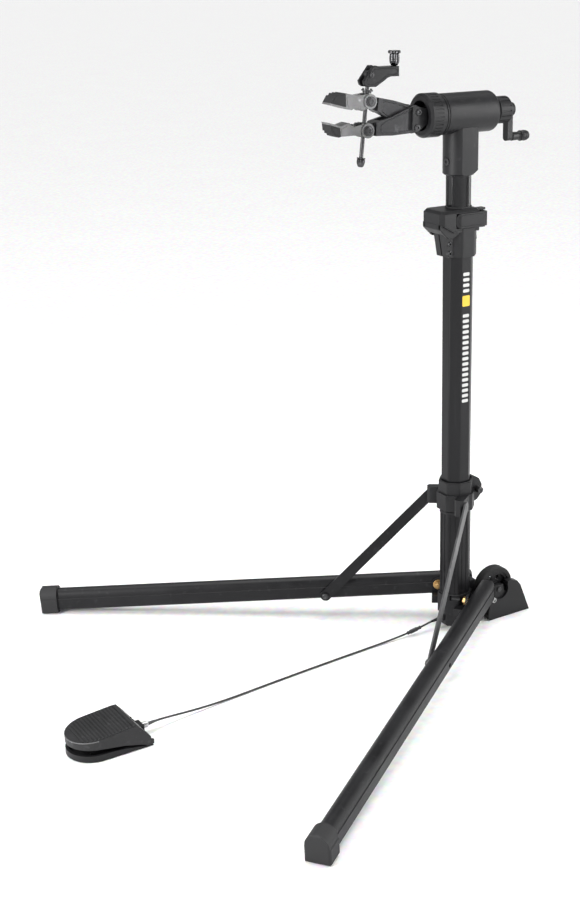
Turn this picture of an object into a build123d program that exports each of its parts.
from build123d import *
import os
from math import asin, cos, degrees, pi, radians, sin, sqrt, tan

# Folding bicycle repair stand: a telescopic mast on two folding front legs and a fixed
# rear foot, with a scissor clamp head and a cabled foot pedal.  Millimetres.
# The model is drawn with the mast axis at X = Y = 0 and the floor at Z = 0, +X towards
# the jaws; place() then moves it so that the origin is the middle of the footprint.

# ---------------------------------------------------------------- driving dimensions
REAR_TIP_X = -171.0          # hindmost edge of the rear foot on the floor
PEDAL_TIP_X = 830.0          # foremost edge of the foot pedal
CENTER_X = (REAR_TIP_X + PEDAL_TIP_X) / 2

HEAD_Z = 1000.0              # barrel axis above the floor, mast nearly fully down
MAST_AF = 53.0               # outer tube across its flats
MAST_WALL = 2.0
INNER_AF = 44.0              # inner tube across its flats
INNER_WALL = 2.5
SLEEVE_AF = 57.0
MAST_BOTTOM = 36.0
MAST_TOP = 800.0
INNER_BOTTOM = 205.0
INNER_TOP = 932.0

LEG_HALF_ANGLE = 35.74       # each front leg from +X, in plan
LEG_ROOT = Vector(-51.4, 34.2, 73.7)   # section centre where the leg's length starts
LEG_LENGTH = 862.0
LEG_HALF_W = 17.0
LEG_HALF_H = 21.0
LEG_WALL = 2.0
CAP_OVER = 5.0               # rubber foot stands proud of the leg all round
CAP_LENGTH = 34.0
LEG_TAIL = -15.0             # rounded tail behind the section origin
LEG_PIVOT_S = 54.0           # fold bolt, along the leg
LEG_PIVOT_Z = 72.0
LEG_SLOPE = degrees(asin((LEG_ROOT.Z - LEG_HALF_H - CAP_OVER) / LEG_LENGTH))
FLANK = 57.77 - LEG_HALF_W   # leg's inner flank from the mast axis
LUG_FACE = FLANK - 0.4       # outer face of the casting's hinge lugs
LUG_R = 13.0

BRACE_LOW = (281.0, 46.0)    # brace pins in the leg's own upright plane: along, height
BRACE_TOP = (66.0, 272.0)
BRACE_WIDTH = 21.0
BRACE_IN = 33.0              # brace's faces, distance from the mast axis
BRACE_OUT = 36.6
BRACE_PIN_R = 4.0

RUNNING = 0.3                # gap between faces that slide or swing past each other
SHAFT_GAP = 0.05             # radial clearance of a pin or shaft in its hole

COLLAR_LOW, COLLAR_MID, COLLAR_TOP = 255.0, 288.0, 311.0

WHEEL = (-95.0, 61.0, 43.0)  # X, Z and radius of the transport wheel
WHEEL_HALF = 9.5

BARREL_R = 35.7
BARREL_REAR, BARREL_FRONT = -68.0, 52.0
RING_R = 38.0
RING_BACK, RING_FRONT = 52.6, 85.0
SPINDLE_R = 12.0
KNOB_REAR = -118.0
NECK_BOTTOM = 893.0

CLAMP_TILT = 7.0             # clamp's midline above the barrel axis
CLAMP_O = (103.0, 995.7)     # middle between the two arm pivots, X and Z
ARM_PIVOT_H = 13.0           # each arm pivot from the clamp's midline
JAW_PIVOT = (96.7, 24.1)     # jaw pivots along and off the midline
OTHER_PIN_WAY = 8.5          # hole in each arm that clears the other arm's pivot pin
CROSS_PIN_R = 7.5
ROD_R = 3.5
JAW_TILT = 15.0
TUBE_R = 15.9                # bicycle tube or seat post gripped at rest
TUBE_AT = (223.4, 1006.5)    # its centre, X and Z

PEDAL_HINGE = (703.0, 9.0)  # X and Z
PEDAL_Y = 36.0
PEDAL_R = 47.0               # half its width, and its rounded toe
CABLE_R = 2.0
KNOB_X = 137.9               # quick lever's grip knob

LEVER_WAY = (801.0, 828.0)   # slot of the height lever, lower and upper face
CLAMP_BOLTS_Z = (756.0, 773.0)


# ---------------------------------------------------------------- small helpers
def box(x0, x1, y0, y1, z0, z1):
    size = (x1 - x0, y1 - y0, z1 - z0)
    return Pos((x0 + x1) / 2, (y0 + y1) / 2, (z0 + z1) / 2) * Box(*size)


def rod(start, end, radius):
    a, b = Vector(*start), Vector(*end)
    return Plane(origin=a, z_dir=b - a) * extrude(Circle(radius), (b - a).length)


def tube(start, end, outer, inner):
    return rod(start, end, outer) - rod(start, end, inner)


def octagon(across, z0, z1, rounding=0.0):
    face = RegularPolygon(across / 2, 8, major_radius=False, rotation=22.5)
    if rounding:
        face = fillet(face.vertices(), rounding)
    return Pos(0, 0, z0) * extrude(face, z1 - z0)


def plate_xz(points, y0, y1):
    """Prism of an X, Z outline between two Y planes."""
    face = Plane.XZ * make_face(Polyline(*points, close=True))
    return Pos(0, y1, 0) * extrude(face, y1 - y0)


def plate_xy(points, z0, z1):
    face = make_face(Polyline(*points, close=True))
    return Pos(0, 0, z0) * extrude(face, z1 - z0)


def clamp_xz(x, z):
    """Point of the clamp's tilted plane as model X and Z."""
    c, s = cos(radians(CLAMP_TILT)), sin(radians(CLAMP_TILT))
    return (CLAMP_O[0] + x * c - z * s, CLAMP_O[1] + x * s + z * c)


def turned(points, pivot, angle):
    """Points given about a pivot, turned up by an angle, in model X and Z."""
    c, s = cos(radians(angle)), sin(radians(angle))
    return [(pivot[0] + u * c - w * s, pivot[1] + u * s + w * c) for u, w in points]


def across_y(at, y0, y1, radius):
    return rod((at[0], y0, at[1]), (at[0], y1, at[1]), radius)


def leg_frame(side):
    """Plane of a leg: x along it in plan, y outwards from the mast, z up; origin on the mast."""
    along = Vector(cos(radians(LEG_HALF_ANGLE)), side * sin(radians(LEG_HALF_ANGLE)), 0)
    return Plane(origin=(0, 0, 0), x_dir=along, z_dir=(0, 0, 1))


def in_leg(side, shape):
    """Shape drawn with +y outwards on the +Y side's leg, put on either side."""
    placed = leg_frame(1).location * shape
    return placed if side > 0 else mirror(placed, about=Plane.XZ)


ROOT_S = (LEG_ROOT.X * cos(radians(LEG_HALF_ANGLE))
          + LEG_ROOT.Y * sin(radians(LEG_HALF_ANGLE)))   # leg's start, along its frame
LEG_MID = FLANK + LEG_HALF_W
NODES = {}


def add(name, *shapes):
    """Keep the solids of one node."""
    solids = []
    for shape in shapes:
        solids += list(shape.solids())
    NODES[name] = solids


# ---------------------------------------------------------------- mast
def mast():
    outer = octagon(MAST_AF, MAST_BOTTOM, MAST_TOP, 5.0)
    hollow = octagon(MAST_AF - 2 * MAST_WALL, MAST_BOTTOM - 1, MAST_TOP + 1, 4.0)
    add("outer_tube", outer - hollow)

    sleeve = octagon(SLEEVE_AF, 76.0, 250.0, 5.0) - octagon(MAST_AF, 75.0, 251.0, 5.0)
    for k in range(8):
        for offset in (-5.0, 5.0):
            groove = box(SLEEVE_AF / 2 - 0.8, SLEEVE_AF, offset - 1.2, offset + 1.2, 74.0, 252.0)
            sleeve -= Rot(0, 0, 45 * k) * groove
    add("lower_sleeve", sleeve)

    inner = octagon(INNER_AF, INNER_BOTTOM, INNER_TOP, 4.0)
    inner -= octagon(INNER_AF - 2 * INNER_WALL, INNER_BOTTOM - 1, INNER_TOP + 1, 3.0)
    for k in range(8):
        groove = box(INNER_AF / 2 - 1.0, INNER_AF, -3.5, 3.5, INNER_BOTTOM - 1, INNER_TOP + 1)
        inner -= Rot(0, 0, 45 * k) * groove
    add("inner_tube", inner)

    slide_af = MAST_AF - 2 * MAST_WALL - 2 * RUNNING
    bush = octagon(slide_af, INNER_BOTTOM, INNER_BOTTOM + 40, 3.5)
    bush -= octagon(INNER_AF, INNER_BOTTOM - 1, INNER_BOTTOM + 41, 4.0)
    add("lower_guide_bush", bush)

    guide = octagon(MAST_AF - 2 * MAST_WALL, 752.0, MAST_TOP, 4.0)
    guide -= octagon(INNER_AF + 2 * RUNNING, 751.0, MAST_TOP + 1, 3.5)
    add("upper_guide_bush", guide)

    # gas spring: cylinder on the bottom cap, rod hung from the top plug
    cylinder = rod((0, 0, 44), (0, 0, 530), 11.0) - rod((0, 0, 50), (0, 0, 518), 9.5)
    cylinder -= rod((0, 0, 500), (0, 0, 531), 4.0 + SHAFT_GAP)
    add("gas_spring_cylinder", cylinder)
    piston = rod((0, 0, 100), (0, 0, 114), 9.5 - SHAFT_GAP)
    plug = octagon(INNER_AF - 2 * INNER_WALL, 900.0, 924.0, 3.0)
    add("gas_spring_rod", piston + rod((0, 0, 114), (0, 0, 912), 4.0) + plug)

    cap = octagon(58.0, 9.0, MAST_BOTTOM, 5.0) - octagon(49.0, 13.0, 40.0, 4.0)
    cap = chamfer(cap.faces().sort_by(Axis.Z)[0].outer_wire().edges(), 3.0)
    cap += rod((0, 0, 13), (0, 0, 44), 16.0)
    cap -= rod((10, 0, 24), (34, 0, 24), 5.0)
    add("bottom_cap", cap)
    add("cable_gland", rod((17, 0, 24), (38, 0, 24), 5.0) + rod((29.1, 0, 24), (33, 0, 24), 7.0))


# ---------------------------------------------------------------- base and rear foot
def base():
    ring = octagon(64.0, MAST_BOTTOM, 76.0, 6.0)
    pivot_s = LEG_PIVOT_S + ROOT_S
    for side in (1, -1):
        wing = box(-6, pivot_s + LUG_R, 12, LUG_FACE, 42, 57)
        lug = box(pivot_s - LUG_R, pivot_s + LUG_R, LUG_FACE - 5, LUG_FACE, 42, LEG_PIVOT_Z)
        lug += rod((pivot_s, LUG_FACE - 5, LEG_PIVOT_Z), (pivot_s, LUG_FACE, LEG_PIVOT_Z), LUG_R)
        hole = rod((pivot_s, 0, LEG_PIVOT_Z), (pivot_s, FLANK, LEG_PIVOT_Z), 5.0)
        ring += in_leg(side, wing)
        ring += in_leg(side, lug)
        ring -= in_leg(side, hole)
    ring += box(-44, -28, -9, 9, 36, 92)
    ring += box(-76, -28, -9, 9, 6, 17)
    ring += box(-44, -28, -9, 9, 6, 40)
    ring -= octagon(SLEEVE_AF, 76.0, 93.0)
    ring -= octagon(MAST_AF, MAST_BOTTOM - 1, 93.0, 5.0)
    ring -= octagon(58.0, 0.0, MAST_BOTTOM, 5.0)
    add("base_casting", ring)

    x, z, r = WHEEL
    side_outline = [(-70, 0), (REAR_TIP_X, 0), (-147, 60), (-138, 71), (-126, 75), (-112, 75),
                    (-112, 90), (-70, 90), (-70, 30), (-66, 12)]
    foot = plate_xz(side_outline, -26, 26)
    foot -= box(-71, -50, -40, 40, 52, 100)
    foot -= across_y((x, z), -27, 27, 20.0)
    foot -= box(-114, -60, -27, 27, z + 8, 100)
    foot -= across_y((x, z), -WHEEL_HALF - 3, WHEEL_HALF + 3, r + 4)
    foot -= box(-80, -60, -9, 9, -1, 17)
    foot -= plate_xz([(-84, -1), (-84, 4), (-150, 4), (-150, -1)], -14, 14)
    for side in (1, -1):
        arm = plate_xz([(x - 36, z - 8), (x - 36, z - 40), (x + 10, z - 40), (x + 10, z + 9),
                        (x - 10, z + 9), (x - 14, z - 8)], WHEEL_HALF + 3, 21.5)
        foot += arm if side > 0 else mirror(arm, about=Plane.XZ)
    foot -= across_y((x, z), -30, 30, 5.0)
    add("rear_foot", foot)

    tyre = across_y((x, z), -WHEEL_HALF, WHEEL_HALF, r)
    tyre = chamfer(tyre.edges().filter_by(GeomType.CIRCLE), 2.0)
    tyre -= across_y((x, z), -WHEEL_HALF - 1, WHEEL_HALF + 1, r - 9)
    add("wheel_tyre", tyre)
    rim = across_y((x, z), -7.5, 7.5, r - 9)
    rim -= across_y((x, z), 3, 8, r - 14) - across_y((x, z), 3, 8, 11.0)
    rim -= across_y((x, z), -8, -3, r - 14) - across_y((x, z), -8, -3, 11.0)
    rim += across_y((x, z), -WHEEL_HALF, WHEEL_HALF, 11.0)
    for k in range(6):
        spoke_hole = Pos(0, -8, 0) * Rot(0, 60 * k, 0) * Pos(21.5, 0, 0)
        rim -= Pos(x, 0, z) * spoke_hole * Rot(-90, 0, 0) * extrude(Circle(7.0), 16)
    rim -= across_y((x, z), -20, 20, 5.0 + SHAFT_GAP)
    add("wheel_rim", rim)
    add("wheel_axle", across_y((x, z), -24, 24, 5.0))
    bolts = []
    for side in (1, -1):
        bolts.append(across_y((-76.0, 45.0), side * 26.0, side * 30.5, 5.5))
    add("foot_bolts", *bolts)


# ---------------------------------------------------------------- legs
def leg_section(grow=0.0):
    """Arched leg section in its own plane: x outwards, y up, centred."""
    w, h = LEG_HALF_W + grow, LEG_HALF_H + grow
    ledge = 1.6
    shoulder = 4.0
    top = ThreePointArc((w - ledge, shoulder), (0, h), (ledge - w, shoulder))
    sides = Polyline((ledge - w, shoulder), (-w, shoulder - 1.2), (-w, 3.5 - h), (3.5 - w, -h),
                     (w - 3.5, -h), (w, 3.5 - h), (w, shoulder - 1.2), (w - ledge, shoulder))
    return make_face([top, sides])


def leg_plane(s):
    """Section plane of the sloping leg at a station along it."""
    slope = radians(LEG_SLOPE)
    along = Vector(cos(slope), 0, -sin(slope))
    start = Vector(ROOT_S, LEG_MID, LEG_ROOT.Z) + along * s
    return Plane(origin=start, x_dir=(0, 1, 0), z_dir=along)


def leg_run(s0, s1, grow=0.0):
    """Prism of the leg section between two stations along the leg."""
    return leg_plane(s0) * extrude(leg_section(grow), s1 - s0)


def rounded_run(s0, s1, grow, radius, end):
    """Block round the leg between two stations, rounded at one end: 0 tail, -1 foot."""
    block = Box(2 * (LEG_HALF_W + grow), 2 * (LEG_HALF_H + grow), s1 - s0)
    block = Pos(0, 0, (s1 - s0) / 2) * block
    block = fillet(block.faces().sort_by(Axis.Z)[end].edges(), radius)
    return leg_plane(s0) * block


def legs():
    pivot_s = LEG_PIVOT_S + ROOT_S
    bolts = []
    bolt_end = LEG_MID + 12.0
    bolt_hole = rod((pivot_s, 30, LEG_PIVOT_Z), (pivot_s, bolt_end + 0.5, LEG_PIVOT_Z),
                    5.0 + SHAFT_GAP)
    low = (ROOT_S + BRACE_LOW[0], BRACE_LOW[1])
    for side, word in ((1, "right"), (-1, "left")):
        leg = leg_run(8.0, LEG_LENGTH - 4.0) - leg_run(7.0, LEG_LENGTH, -LEG_WALL)
        leg -= rod((low[0], LEG_MID, low[1] + 3), (low[0], LEG_MID + 30, low[1] + 3), 4.5)
        knuckle = leg_run(LEG_TAIL, 8.0) & rounded_run(LEG_TAIL, 8.0, 0.0, 13.0, 0)
        knuckle += leg_run(7.9, 84.0, -LEG_WALL)
        leg += knuckle
        leg -= bolt_hole
        leg += rod((low[0], BRACE_OUT + RUNNING, low[1]), (low[0], FLANK + 1, low[1]), 8.0)
        add(word + "_leg_tube", in_leg(side, leg))

        foot = leg_run(LEG_LENGTH - CAP_LENGTH, LEG_LENGTH, CAP_OVER)
        foot &= rounded_run(LEG_LENGTH - CAP_LENGTH, LEG_LENGTH, CAP_OVER, 5.0, -1)
        foot -= leg_run(LEG_LENGTH - CAP_LENGTH - 1, LEG_LENGTH - 4.0)
        add(word + "_leg_cap", in_leg(side, foot))

        bolt = rod((pivot_s, 29, LEG_PIVOT_Z), (pivot_s, bolt_end, LEG_PIVOT_Z), 5.0)
        seat = Plane(origin=(pivot_s, LUG_FACE - 5, LEG_PIVOT_Z), x_dir=(1, 0, 0),
                     z_dir=(0, -1, 0))
        bolt += seat * extrude(RegularPolygon(8.2, 6), 6.0)
        bolts.append(in_leg(side, bolt))
    add("leg_fold_bolts", *bolts)


# ---------------------------------------------------------------- sliding collar, braces
def sliding_collar():
    collar = octagon(70.0, COLLAR_LOW, COLLAR_MID, 4.0)
    collar += octagon(63.0, COLLAR_MID, COLLAR_TOP, 4.0)
    top_s = ROOT_S + BRACE_TOP[0]
    for side in (1, -1):
        lobe = box(8, top_s + 11, 14, BRACE_IN - RUNNING, COLLAR_LOW, COLLAR_MID)
        lobe = chamfer(lobe.edges().filter_by(Axis.Z).sort_by(Axis.X)[-2:], 5.0)
        collar += in_leg(side, lobe)
    ears = plate_xz([(-28, COLLAR_LOW + 3), (-44, COLLAR_LOW + 8), (-54, 274), (-55, 292),
                     (-48, 306), (-40, COLLAR_TOP), (-28, COLLAR_TOP)], -11, 11)
    collar += ears
    collar -= octagon(MAST_AF + 2 * RUNNING, COLLAR_LOW - 1, COLLAR_TOP + 1, 5.0)
    collar -= box(-70, -20, -1.5, 1.5, COLLAR_LOW - 1, COLLAR_TOP + 1)
    collar -= across_y((-43, 285), -20, 20, 3.0)
    pin_hole = rod((top_s, 16, BRACE_TOP[1]), (top_s, 50, BRACE_TOP[1]), BRACE_PIN_R)
    for side in (1, -1):
        collar -= in_leg(side, pin_hole)
    add("sliding_collar", collar)

    skewer = across_y((-43, 285), -21.0, 17, 3.0) + across_y((-43, 285), 11.0, 21.0, 6.5)
    skewer += rod((-50, -18, 285), (-36, -18, 285), 2.0)
    add("collar_skewer", skewer)
    lever = rod((-50, -18, 285), (-36, -18, 285), 6.5)
    paddle = box(-49, -37, -24, -18.5, 226, 285)
    paddle += rod((-49, -21.25, 226), (-37, -21.25, 226), 2.75)
    lever += paddle
    lever -= box(-47, -39, -40, -10, 280, 300)
    lever -= across_y((-43, 285), -40, 0, 3.0 + RUNNING)
    lever -= rod((-60, -18, 285), (-30, -18, 285), 2.0 + SHAFT_GAP)
    add("collar_lever", lever)

    low_s = ROOT_S + BRACE_LOW[0]
    top_pins = []
    for side, word in ((1, "right"), (-1, "left")):
        a, b = Vector(top_s, 0, BRACE_TOP[1]), Vector(low_s, 0, BRACE_LOW[1])
        run = (b - a).length
        face = SlotCenterToCenter(run, BRACE_WIDTH)
        plane = Plane(origin=((a.X + b.X) / 2, BRACE_OUT, (a.Z + b.Z) / 2), x_dir=b - a,
                      z_dir=(0, -1, 0))
        bar = plane * extrude(face, BRACE_OUT - BRACE_IN)
        top_hole = rod((top_s, 30, BRACE_TOP[1]), (top_s, 45, BRACE_TOP[1]),
                       BRACE_PIN_R + SHAFT_GAP)
        top_pin = rod((top_s, 18, BRACE_TOP[1]), (top_s, BRACE_OUT, BRACE_TOP[1]), BRACE_PIN_R)
        top_pins.append(in_leg(side, top_pin))
        rivet = rod((low_s, BRACE_IN - 3.5, BRACE_LOW[1]), (low_s, BRACE_IN, BRACE_LOW[1]), 7.0)
        add(word + "_brace", in_leg(side, bar - top_hole + rivet))
    add("brace_top_pins", *top_pins)


# ---------------------------------------------------------------- height clamp on the mast
def height_clamp():
    outline = [(-30, -24), (-24, -31), (52, -31), (60, -24), (60, 24), (52, 31), (-24, 31),
               (-30, 24)]
    hood = plate_xy(outline, 794, 834)
    hood = chamfer(hood.faces().sort_by(Axis.Z)[-1].outer_wire().edges(), 5.0)
    hood -= plate_xz([(62, 793), (62, 812), (28, 793)], -40, 40)
    hood += octagon(64.0, 748, 800, 5.0)
    hood += plate_xz([(20, 748), (36, 748), (40, 772), (46, 802), (20, 802)], -16, 20)
    hood += plate_xz([(-20, 762), (-32, 776), (-30, 796), (-20, 796)], -14, 14)
    hood -= octagon(MAST_AF, 740, MAST_TOP, 5.0)
    hood -= octagon(INNER_AF + 4 * RUNNING, MAST_TOP - 1, 850, 3.5)
    hood -= box(26, 62, -1.5, 1.5, 740, 790)
    hood -= plate_xy([(-40, 26.5), (27, 26.5), (27, 40), (-40, 40)], *LEVER_WAY)
    for z in CLAMP_BOLTS_Z:
        hood -= across_y((33, z), -30, 30, 2.5)
        hood -= across_y((33, z), 14, 30, 4.6)
    ear = box(-46, -26, 8, 20, 797, 832)
    ear -= octagon(SLEEVE_AF, 790, 840, 5.0)
    hood += ear
    hood -= box(-60, -33.5, 5, 40, *LEVER_WAY)
    hood -= plate_xy([(-34, 5), (-30, 5), (-24, 26.5), (-20, 40), (-34, 40)], *LEVER_WAY)
    hood -= rod((-40, 14, 790), (-40, 14, 840), 2.5)
    add("height_clamp", hood)

    pin = rod((-40, 14, 797), (-40, 14, 832), 2.5)
    add("height_lever_pin", pin)
    bolts = []
    for z in CLAMP_BOLTS_Z:
        bolts.append(across_y((33, z), -12, 19, 2.5) + across_y((33, z), 14, 18, 4.6))
    add("height_clamp_bolts", *bolts)

    low, high = LEVER_WAY[0] + 0.4, LEVER_WAY[1] - 0.4
    arm = plate_xy([(-42, 27.2), (26.4, 27.2), (26.4, 31), (17, 33), (-36, 33), (-42, 31)],
                   low, high)
    arm = fillet(arm.edges().filter_by(Axis.Y).sort_by(Axis.X)[-2:], 9.0)
    arm += plate_xy([(-42, 14), (-36, 14), (-34, 28), (-42, 31)], low, high)
    arm += rod((-40, 14, low), (-40, 14, high), 5.0)
    arm -= rod((-40, 14, 790), (-40, 14, 840), 2.5 + SHAFT_GAP)
    add("height_lever", arm)


# ---------------------------------------------------------------- head
def head():
    barrel = rod((BARREL_REAR, 0, HEAD_Z), (BARREL_FRONT, 0, HEAD_Z), BARREL_R)
    barrel = fillet(barrel.faces().sort_by(Axis.X)[0].edges(), 7.0)
    neck_line = Polyline((12, 27), (-22, 27), (-27, 22), (-27, -22), (-22, -27), (12, -27))
    neck_front = ThreePointArc((12, -27), (29, 0), (12, 27))
    neck = Pos(0, 0, NECK_BOTTOM) * extrude(make_face([neck_line, neck_front]), 84)
    upward = (Align.CENTER, Align.CENTER, Align.MIN)
    neck &= Pos(0, 0, NECK_BOTTOM) * Cone(27, 111, 84, align=upward)   # breaks the lower rim
    body = barrel + neck
    body -= octagon(INNER_AF, 890, INNER_TOP, 4.0)
    body -= rod((-58, 0, HEAD_Z), (BARREL_FRONT + 1, 0, HEAD_Z), 26.0)
    body -= rod((-80, 0, HEAD_Z), (0, 0, HEAD_Z), SPINDLE_R + RUNNING)
    body -= rod((22, 2, 917), (40, 2, 917), 8.0)
    for x in (44.0, 48.5):
        body -= tube((x, 0, HEAD_Z), (x + 1.5, 0, HEAD_Z), BARREL_R + 1, BARREL_R - 0.9)
    add("head_body", body)
    screw = rod((22, 2, 917), (27.5, 2, 917), 8.0)
    socket = Plane(origin=(25, 2, 917), x_dir=(0, 1, 0), z_dir=(1, 0, 0))
    add("neck_screw", screw - socket * extrude(RegularPolygon(4.6, 6), 6))

    bushes = []
    for x in (-54.0, 30.0):
        bushes.append(tube((x, 0, HEAD_Z), (x + 16, 0, HEAD_Z), 26.0, SPINDLE_R + SHAFT_GAP))
    add("spindle_bushes", *bushes)
    spindle = rod((-84, 0, HEAD_Z), (60, 0, HEAD_Z), SPINDLE_R)
    spindle += rod((52.8, 0, HEAD_Z), (64, 0, HEAD_Z), 24.0)
    spindle -= rod((-85, 0, HEAD_Z), (-60, 0, HEAD_Z), 5.0 + SHAFT_GAP)
    ears = []
    for y0, y1 in ((15.6, 20.0), (-20.0, -15.6)):
        outline = [(62, HEAD_Z - 12), (86, HEAD_Z - 14), (104, HEAD_Z - 24),
                   (115, HEAD_Z - 20), (113, HEAD_Z + 18), (104, HEAD_Z + 18),
                   (86, HEAD_Z + 14), (62, HEAD_Z + 12)]
        ears.append(plate_xz(outline, y0, y1))
    spindle += ears[0]
    spindle += ears[1]
    upper_at, lower_at = clamp_xz(0, -ARM_PIVOT_H), clamp_xz(0, ARM_PIVOT_H)
    for at in (upper_at, lower_at):
        spindle -= across_y(at, -30, 30, 3.5)
    add("spindle_yoke", spindle)

    ring = rod((RING_BACK, 0, HEAD_Z), (RING_FRONT, 0, HEAD_Z), RING_R)
    ring = chamfer(ring.faces().sort_by(Axis.X)[-1].edges(), 4.0)
    ring -= rod((RING_BACK - 1, 0, HEAD_Z), (RING_FRONT + 1, 0, HEAD_Z), 26.0)
    ring += tube((RING_BACK, 0, HEAD_Z), (62, 0, HEAD_Z), 26.5, 24.01)
    for k in range(36):
        rib = box(60, 76, -0.9, 0.9, RING_R - 1.0, RING_R + 2)
        ring -= Pos(0, 0, HEAD_Z) * Rot(10 * k, 0, 0) * rib
    add("front_ring", ring)

    # rear crank
    knob = rod((-104, 0, HEAD_Z), (-75, 0, HEAD_Z), 24.0)
    knob = chamfer(knob.edges().filter_by(GeomType.CIRCLE), 2.0)
    for k in range(16):
        groove = box(-100, -79, -1.3, 1.3, 22.6, 27)
        knob -= Pos(0, 0, HEAD_Z) * Rot(22.5 * k, 0, 0) * groove
    knob += rod((-75, 0, HEAD_Z), (-68.5, 0, HEAD_Z), 16.0)
    knob -= rod((-84.4, 0, HEAD_Z), (-60, 0, HEAD_Z), SPINDLE_R + SHAFT_GAP)
    knob += rod((-110, 0, HEAD_Z), (-66, 0, HEAD_Z), 5.0)
    add("lock_knob", knob)
    crank = box(-116, -104.4, -7, 7, HEAD_Z - 56, HEAD_Z + 6)
    crank = fillet(crank.edges().filter_by(Axis.X), 6.0)
    crank += rod((KNOB_REAR, 0, HEAD_Z), (-104.0, 0, HEAD_Z), 12.0)
    crank -= rod((-110, 0, HEAD_Z), (-100, 0, HEAD_Z), 5.0)
    crank += rod((-154, 0, HEAD_Z - 49), (-106, 0, HEAD_Z - 49), 3.0)
    add("crank_arm", crank)
    grip_line = Polyline((0, -155), (7.6, -155), (9.2, -151), (9.2, -142), (7.2, -132),
                         (8.0, -118), (6.5, -116.4), (0, -116.4), close=True)
    grip = Pos(0, 0, HEAD_Z - 49) * Rot(0, 90, 0) * revolve(Plane.XZ * make_face(grip_line),
                                                          Axis.Z)
    grip -= rod((-154.2, 0, HEAD_Z - 49), (-100, 0, HEAD_Z - 49), 3.0 + SHAFT_GAP)
    add("crank_grip", grip)


# ---------------------------------------------------------------- clamp
CHEEK_IN, CHEEK_OUT = 8.5, 15.0      # the outer arm's and the jaws' cheeks, from the middle
EYE_R = 12.0


def arm_outline(up):
    """Tapered arm from its pivot to the jaw end; up is +1 for the arm that rises."""
    points = [(3, -24), (28, -13.5), (52, -1.5), (74, 6.5), (88, 12), (96, 14), (96, 34),
              (84, 32), (46, 29), (12, 23.5), (-6, 6), (-10, -14), (-5, -22)]
    return [clamp_xz(x, up * z) for x, z in points]


def clamp_arms():
    jaw_x, jaw_z = JAW_PIVOT
    pins = []
    for up, word in ((1, "upper"), (-1, "lower")):
        pivot = clamp_xz(0, -up * ARM_PIVOT_H)
        eye = clamp_xz(jaw_x, up * jaw_z)
        outline = arm_outline(up)
        wide = plate_xz(outline, -CHEEK_OUT + 1, CHEEK_OUT - 1)
        wide &= plate_xz([clamp_xz(*p) for p in ((72, -60), (81, -60), (81, 60), (72, 60))],
                         -20, 20)
        if up > 0:
            near = plate_xz(outline, 0.5 - CHEEK_IN, CHEEK_IN - 0.5)
        else:
            near = plate_xz(outline, -CHEEK_OUT, CHEEK_OUT)
            near -= plate_xz([clamp_xz(*p) for p in ((-30, -70), (72, -70), (72, 70), (-30, 70))],
                             -CHEEK_IN, CHEEK_IN)
            beyond = plate_xz([clamp_xz(*p) for p in ((81, -70), (120, -70), (120, 70), (81, 70))],
                              -40, 40)
            near -= beyond
            near += plate_xz(outline, 0.5 - CHEEK_IN, CHEEK_IN - 0.5) & beyond
        arm = near + wide + across_y(eye, 0.5 - CHEEK_IN, CHEEK_IN - 0.5, EYE_R)
        arm -= across_y(eye, -30, 30, CROSS_PIN_R + SHAFT_GAP)
        arm -= across_y(pivot, -30, 30, 3.5 + SHAFT_GAP)
        other = clamp_xz(0, up * ARM_PIVOT_H)
        arm -= across_y(other, -30, 30, OTHER_PIN_WAY)
        # slot for the clamp rod, wide enough for the arm's swing
        slot = plate_xz([clamp_xz(jaw_x + dx, up * jaw_z + dz)
                         for dx, dz in ((-7.5, -18), (7.5, -18), (7.5, 18), (-7.5, 18))], -4, 4)
        arm -= slot
        add(word + "_arm", arm)
        pins.append(across_y(pivot, -20, 20, 3.5))
    add("arm_pivot_pins", *pins)


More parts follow.
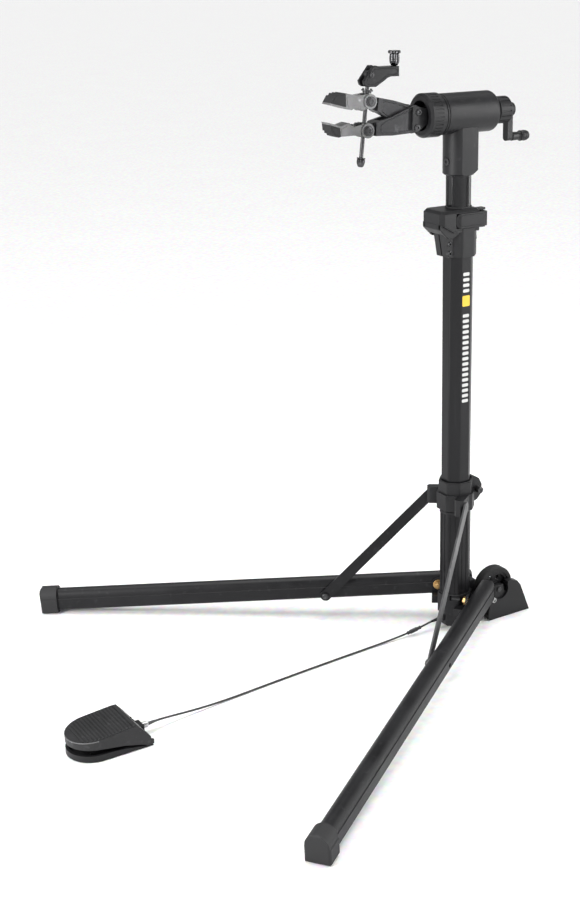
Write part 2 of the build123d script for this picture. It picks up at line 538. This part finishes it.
def jaws():
    jaw_x, jaw_z = JAW_PIVOT
    upper_at, lower_at = clamp_xz(jaw_x, jaw_z), clamp_xz(jaw_x, -jaw_z)
    bodies = {
        "upper": (upper_at,
                  [(77, -21.5), (76, -18.6), (45, -18.6), (51, 3.1), (24, 4), (12, 9), (0, 12.4),
                   (-8, 9), (-11.5, 0), (-8, -8.5), (0, -12.4), (6, -14), (12, -20),
                   (40, -21.5)],
                  [(75.8, -18.6), (71.5, -6.1), (68, -6.3), (66.5, -1.3), (62, -1.6),
                   (61, 1.0), (56, 0.6), (55, 2.6), (51, 3.1), (45, -18.6)]),
        "lower": (lower_at,
                  [(78, -2.3), (53.9, -3.4), (40, 5), (18, 9), (8, 10), (0, 12.4), (-8, 9),
                   (-11.5, 0), (-8, -8.5), (0, -12.4), (12, -11), (26, -13.3), (50, -20),
                   (55, -6.6), (75.5, -5.6)],
                  [(75.5, -5.6), (71.5, -15.8), (68.5, -15.2), (67, -19.2), (63, -18.8),
                   (61.5, -21.6), (54, -22.1), (50, -20), (55, -6.6)]),
    }
    for word, (at, body, tip) in bodies.items():
        jaw = plate_xz(turned(body, at, JAW_TILT), -12.6, 12.6)
        jaw -= across_y(at, -20, 20, 17.5) & box(0, 400, 0.01 - CHEEK_IN, CHEEK_IN - 0.01, 0, 1200)
        jaw += across_y(at, CHEEK_IN, CHEEK_OUT, 12.4) + across_y(at, -CHEEK_OUT, -CHEEK_IN, 12.4)
        jaw -= across_y(at, -30, 30, CROSS_PIN_R + SHAFT_GAP)
        jaw -= across_y(TUBE_AT, -30, 30, TUBE_R)
        # the way through for the clamp rod
        way = turned([(-9, -30), (11, -30), (11, 30), (-9, 30)], at, JAW_TILT)
        jaw -= plate_xz(way, -5, 5)
        add(word + "_jaw", jaw)
        add(word + "_jaw_pad", plate_xz(turned(tip, at, JAW_TILT), -13.2, 13.2))

    axis = Vector(-sin(radians(CLAMP_TILT)), 0, cos(radians(CLAMP_TILT)))
    middle = Vector(clamp_xz(jaw_x, 0)[0], 0, clamp_xz(jaw_x, 0)[1])

    def on_rod(z0, z1, radius):
        a, b = middle + axis * z0, middle + axis * z1
        return rod((a.X, a.Y, a.Z), (b.X, b.Y, b.Z), radius)

    for word, at in (("upper", upper_at), ("lower", lower_at)):
        pin = across_y(at, -15.2, 15.2, CROSS_PIN_R)
        for y0, y1 in ((15.2, 17.0), (-17.0, -15.2)):
            pin += across_y(at, y0, y1, 8.6)
        pin -= on_rod(-60, 60, ROD_R + SHAFT_GAP)
        add(word + "_cross_pin", pin)

    saddle = on_rod(37.0, 40.5, 7.6) + on_rod(40.5, 42.5, 10.0)
    saddle -= on_rod(30, 60, ROD_R + SHAFT_GAP)
    for dx in (-8.0, 8.0):
        foot, top = clamp_xz(jaw_x + dx, 42.5), clamp_xz(jaw_x + dx, 45.0)
        saddle += rod((foot[0], 0, foot[1]), (top[0], 0, top[1]), 1.8)
    add("cam_saddle", saddle)

    lever_at = clamp_xz(jaw_x, 67.0)
    screw = on_rod(-72.0, 60.0, ROD_R)
    screw += across_y(lever_at, -4.2, 4.2, 7.0)
    screw += on_rod(52.0, 66.0, 4.0)
    screw += across_y(lever_at, -10.6, 10.6, 3.0)
    add("clamp_rod", screw)
    nut = on_rod(-86.0, -70.0, 7.6)
    nut = chamfer(nut.edges().filter_by(GeomType.CIRCLE).sort_by(Axis.Z)[0], 4.5)
    nut -= on_rod(-72.0, -60.0, ROD_R)
    add("clamp_rod_nut", nut)

    # quick cam with its crank handle; outline about the cam pin, before the shift in X
    shift = lever_at[0] - 192.8
    outline = [(188.9, 1088.5), (183, 1089), (177.4, 1086.2), (136.6, 1086.3),
               (136.6, 1069.8), (153.1, 1070.0), (160, 1068), (167, 1063.5), (183.6, 1054.4),
               (201.9, 1055.0), (206.5, 1058), (208.7, 1064.5)]
    points = [(x + shift, z) for x, z in outline]
    lever = plate_xz(points, -10, 10)
    lever -= plate_xz([(172 + shift, 1040), (230, 1040), (230, 1100), (172 + shift, 1100)],
                      -4.6, 4.6)
    lever = chamfer(lever.faces().sort_by(Axis.Y)[-1].edges(), 0.8)
    lever -= across_y(lever_at, -20, 20, 3.0 + SHAFT_GAP)
    lever += rod((KNOB_X, 0, 1080), (KNOB_X, 0, 1108), 3.0)
    add("cam_lever", lever)
    knob_line = Polyline((0, 1086.8), (6.0, 1086.8), (8.6, 1092), (8.9, 1103), (8.0, 1106),
                         (11.2, 1107.5), (11.2, 1110.5), (9.0, 1112), (0, 1112), close=True)
    knob = Pos(KNOB_X, 0, 0) * revolve(Plane.XZ * make_face(knob_line), Axis.Z)
    knob -= rod((KNOB_X, 0, 1080), (KNOB_X, 0, 1108.2), 3.0 + SHAFT_GAP)
    add("lever_knob", knob)


# ---------------------------------------------------------------- pedal and cable
def toe_plan(x_back, x_toe, half, z0, z1):
    """Plate with a straight back and a round toe, on the pedal's own centre line."""
    centre = x_toe - half
    side = Polyline((centre, -half), (x_back, -half), (x_back, half), (centre, half))
    toe = ThreePointArc((centre, half), (x_toe, 0), (centre, -half))
    return Pos(0, PEDAL_Y, z0) * extrude(make_face([side, toe]), z1 - z0)


def pedal():
    hinge_x, hinge_z = PEDAL_HINGE
    plate = toe_plan(695.0, PEDAL_TIP_X, PEDAL_R, 0, 12.5)
    plate = chamfer(plate.faces().sort_by(Axis.Z)[0].outer_wire().edges(), 1.5)
    plate -= toe_plan(714.0, PEDAL_TIP_X - 5, PEDAL_R - 5, 4, 15)
    plate += box(695, 712, PEDAL_Y - 12, PEDAL_Y + 12, 3, 22)
    skirt_way = [(690, 1.5), (hinge_x, 1.2), (716, 4.8), (748, 10.4), (770, 12.4), (770, 30),
                 (690, 30)]
    plate -= plate_xz(skirt_way, PEDAL_Y - 50, PEDAL_Y - 37)
    plate -= plate_xz(skirt_way, PEDAL_Y + 37, PEDAL_Y + 50)
    pin_hole = rod((hinge_x, PEDAL_Y - 60, hinge_z), (hinge_x, PEDAL_Y + 60, hinge_z), 3.0)
    plate -= pin_hole
    plate -= rod((690, PEDAL_Y, 16), (715, PEDAL_Y, 16), 3.5)
    plate += tube((790, PEDAL_Y, 4), (790, PEDAL_Y, 11), 12.0, 8.0)
    for y in (-26, 24):
        plate += box(730, 800, PEDAL_Y + y, PEDAL_Y + y + 2, 3, 10)
    add("pedal_base", plate)
    add("pedal_hinge_pin", rod((hinge_x, PEDAL_Y - 46.6, hinge_z),
                               (hinge_x, PEDAL_Y + 46.6, hinge_z), 3.0))
    add("pedal_spring", rod((790, PEDAL_Y, 5), (790, PEDAL_Y, 33.6), 7.0)
        - rod((790, PEDAL_Y, 4), (790, PEDAL_Y, 36), 5.0))

    # treadle: ribbed top and skirts that narrow to the hinge
    side_cut = [(690, -1), (hinge_x - 9, 4), (hinge_x, 2.2), (716, 8), (748, 16.5), (790, 23),
                (840, 24.5), (840, -1)]
    shell = toe_plan(694.0, PEDAL_TIP_X, PEDAL_R, 1.5, 46)
    top_cut = [(680, 10), (697, 12), (708, 30), (720, 44), (730, 44.5), (835, 35.5), (840, 60),
               (680, 60)]
    shell -= plate_xz(top_cut, -100, 160)
    shell -= plate_xz(side_cut, -100, 160)
    inner = toe_plan(690.0, PEDAL_TIP_X - 4, PEDAL_R - 4, 0, 60)
    inner &= plate_xz([(680, 0), (680, 13.5), (701.5, 13.5), (711, 28), (722, 40.5), (826, 32),
                       (826, 0)], -100, 160)
    shell -= inner
    for k in range(15):
        x = 726.5 + 6.2 * k
        z = 44.3 - (x - 730) * 0.0857
        shell += Pos(x, PEDAL_Y, z) * Box(3.0, 2 * rib_half(x), 2.4)
    shell += rod((hinge_x, PEDAL_Y - 46.8, hinge_z), (hinge_x, PEDAL_Y - 38, hinge_z), 7.0)
    shell += rod((hinge_x, PEDAL_Y + 38, hinge_z), (hinge_x, PEDAL_Y + 46.8, hinge_z), 7.0)
    shell -= rod((hinge_x, PEDAL_Y - 60, hinge_z), (hinge_x, PEDAL_Y + 60, hinge_z),
                 3.0 + SHAFT_GAP)
    shell -= box(680, hinge_x + 13, PEDAL_Y - 14, PEDAL_Y + 14, 0, 60)
    add("pedal_treadle", shell)
    ferrule = rod((683, PEDAL_Y, 16), (712, PEDAL_Y, 16), 3.5)
    add("pedal_ferrule", ferrule + rod((686, PEDAL_Y, 16), (695, PEDAL_Y, 16), 5.5))


def rib_half(x):
    """Half length of a tread rib at a station along the pedal."""
    centre = PEDAL_TIP_X - PEDAL_R
    if x <= centre:
        return PEDAL_R - 3
    return sqrt((PEDAL_R - 3) ** 2 - (x - centre) ** 2)


# Cable, from the pedal's ferrule over the floor to the gland in the mast's foot.
CABLE_POINTS = [
    (683.0, 36.0, 16.0), (664.0, 33.2, 15.6), (640.0, 29.4, 12.6), (597.0, 24.0, 7.0),
    (548.0, 19.4, 3.4), (494.0, 14.6, 2.3), (438.0, 9.0, 2.2), (380.0, 4.0, 2.2),
    (322.0, -0.4, 2.2), (264.0, -4.6, 2.2), (208.0, -8.0, 2.3), (154.0, -10.2, 3.2),
    (110.0, -9.6, 7.0), (78.0, -5.6, 14.4), (56.0, -1.4, 22.0), (38.0, 0.0, 24.0)]


def corner_radii(points):
    """Largest arcs that the runs allow: 0.45 of the shorter run over tan(half the turn)."""
    radii = []
    for before, here, after in zip(points, points[1:], points[2:]):
        a = Vector(*here) - Vector(*before)
        b = Vector(*after) - Vector(*here)
        turn = a.get_angle(b)
        radii.append(0.45 * min(a.length, b.length) / tan(radians(turn) / 2))
    return radii


def cable():
    radii = corner_radii(CABLE_POINTS)
    print("cable radii", [round(r) for r in radii])
    path = FilletPolyline(*CABLE_POINTS, radius=radii)
    start = Plane(origin=CABLE_POINTS[0], z_dir=Vector(*CABLE_POINTS[1]) - Vector(*CABLE_POINTS[0]))
    line = sweep(start * Circle(CABLE_R), path=path)
    print("cable length", round(path.length, 1), "volume ratio",
          round(line.volume / (pi * CABLE_R ** 2 * path.length), 4))
    add("pedal_cable", line)
    a, b = Vector(*CABLE_POINTS[12]), Vector(*CABLE_POINTS[13])
    d = (b - a).normalized()
    ends = [a + d * 5.0, a + d * 9.0, a + d * 24.0, a + d * 28.0]
    body = rod(tuple(ends[0]), tuple(ends[3]), 3.2) + rod(tuple(ends[1]), tuple(ends[2]), 4.2)
    add("cable_adjuster", body)


mast()
base()
legs()
sliding_collar()
height_clamp()
head()
clamp_arms()
jaws()
pedal()
cable()

os.makedirs("parts", exist_ok=True)
for name, solids in NODES.items():
    moved = [solid.moved(Location((-CENTER_X, 0, 0))) for solid in solids]
    shape = moved[0] if len(moved) == 1 else Compound(children=moved)
    export_step(shape, "parts/" + name + ".step")
print(len(NODES), "nodes")
